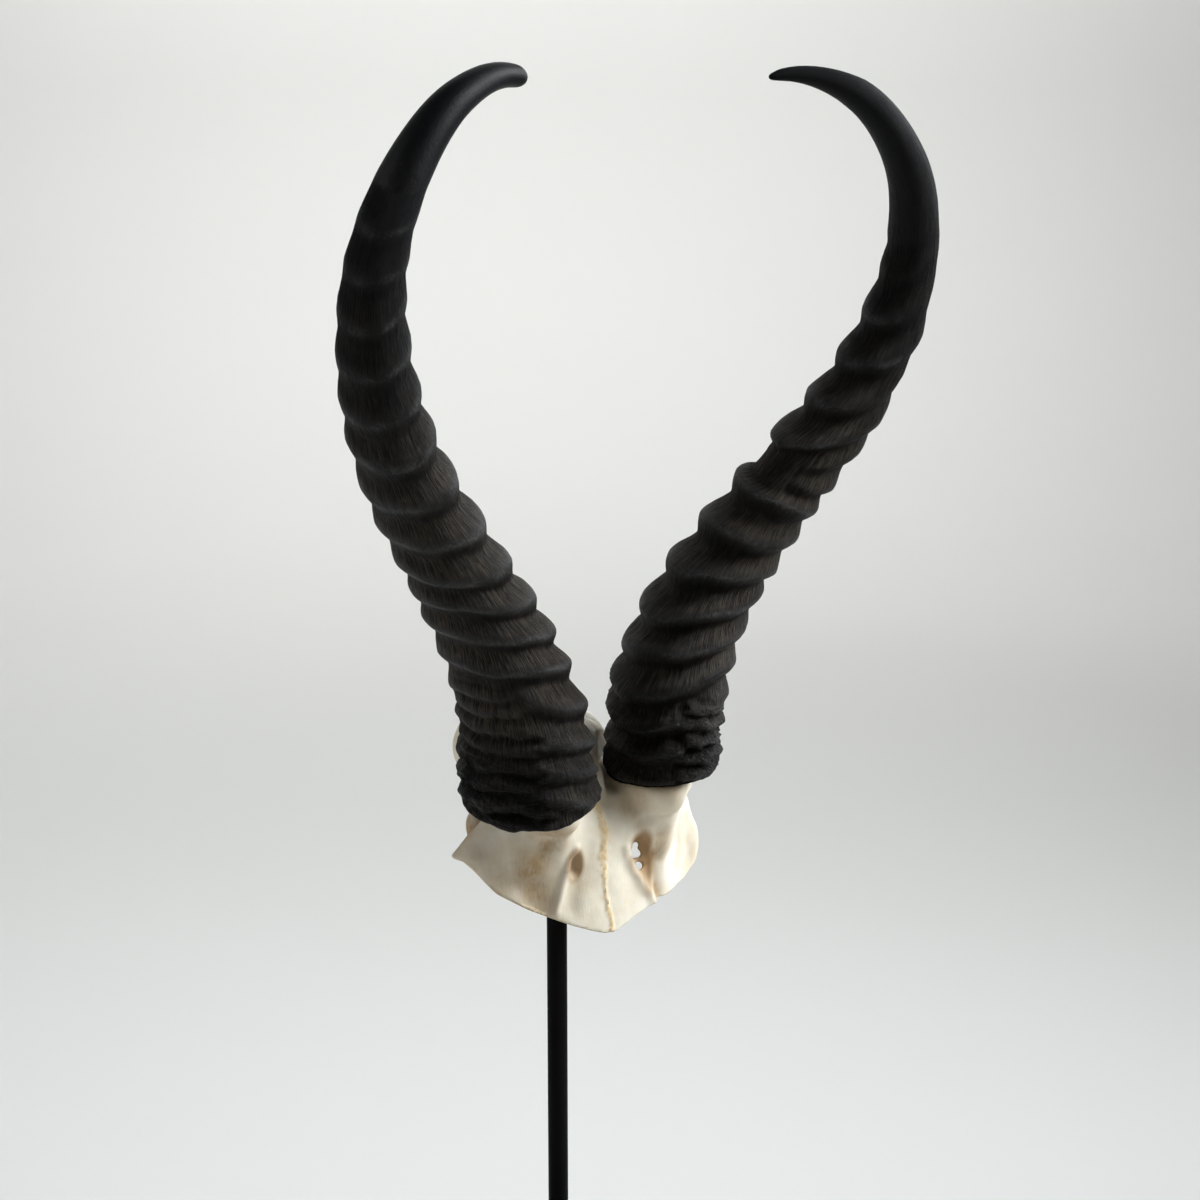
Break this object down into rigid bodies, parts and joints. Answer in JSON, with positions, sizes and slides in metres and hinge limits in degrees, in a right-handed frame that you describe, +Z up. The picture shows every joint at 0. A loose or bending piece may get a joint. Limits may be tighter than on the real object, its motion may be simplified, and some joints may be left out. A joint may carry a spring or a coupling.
{
  "type": "antelope horn mount",
  "caption": "Pair of ringed black antelope horns with inward-hooked smooth tips on a sawn white skull cap, held up by a slim black rod on a square base.",
  "frame": {"origin": "centre of the base plate's underside, on the rod's axis", "axes": "+Z up along the rod; the forehead faces -Y; +X to the right as seen from the front"},
  "size_m": [0.2428, 0.1528, 0.5224],
  "materials": {
    "horn_sheath": "near-black keratin: satin and faintly blue-grey on the ring crests and tips, brown and finely striated in the valleys",
    "bone": "cleaned ivory bone, tan in the hollows and round the horn bases, dull",
    "black_steel": "fine matt black paint",
    "screw_steel": "plain bright screw steel"
  },
  "bodies": {
    "root": {"horn_left": "horn_sheath", "horn_right": "horn_sheath", "skull_cap": "bone", "rod": "black_steel", "fixing_disc": "black_steel", "base_plate": "black_steel", "fixing_screw_left": "screw_steel", "fixing_screw_right": "screw_steel"}
  },
  "joints": []
}
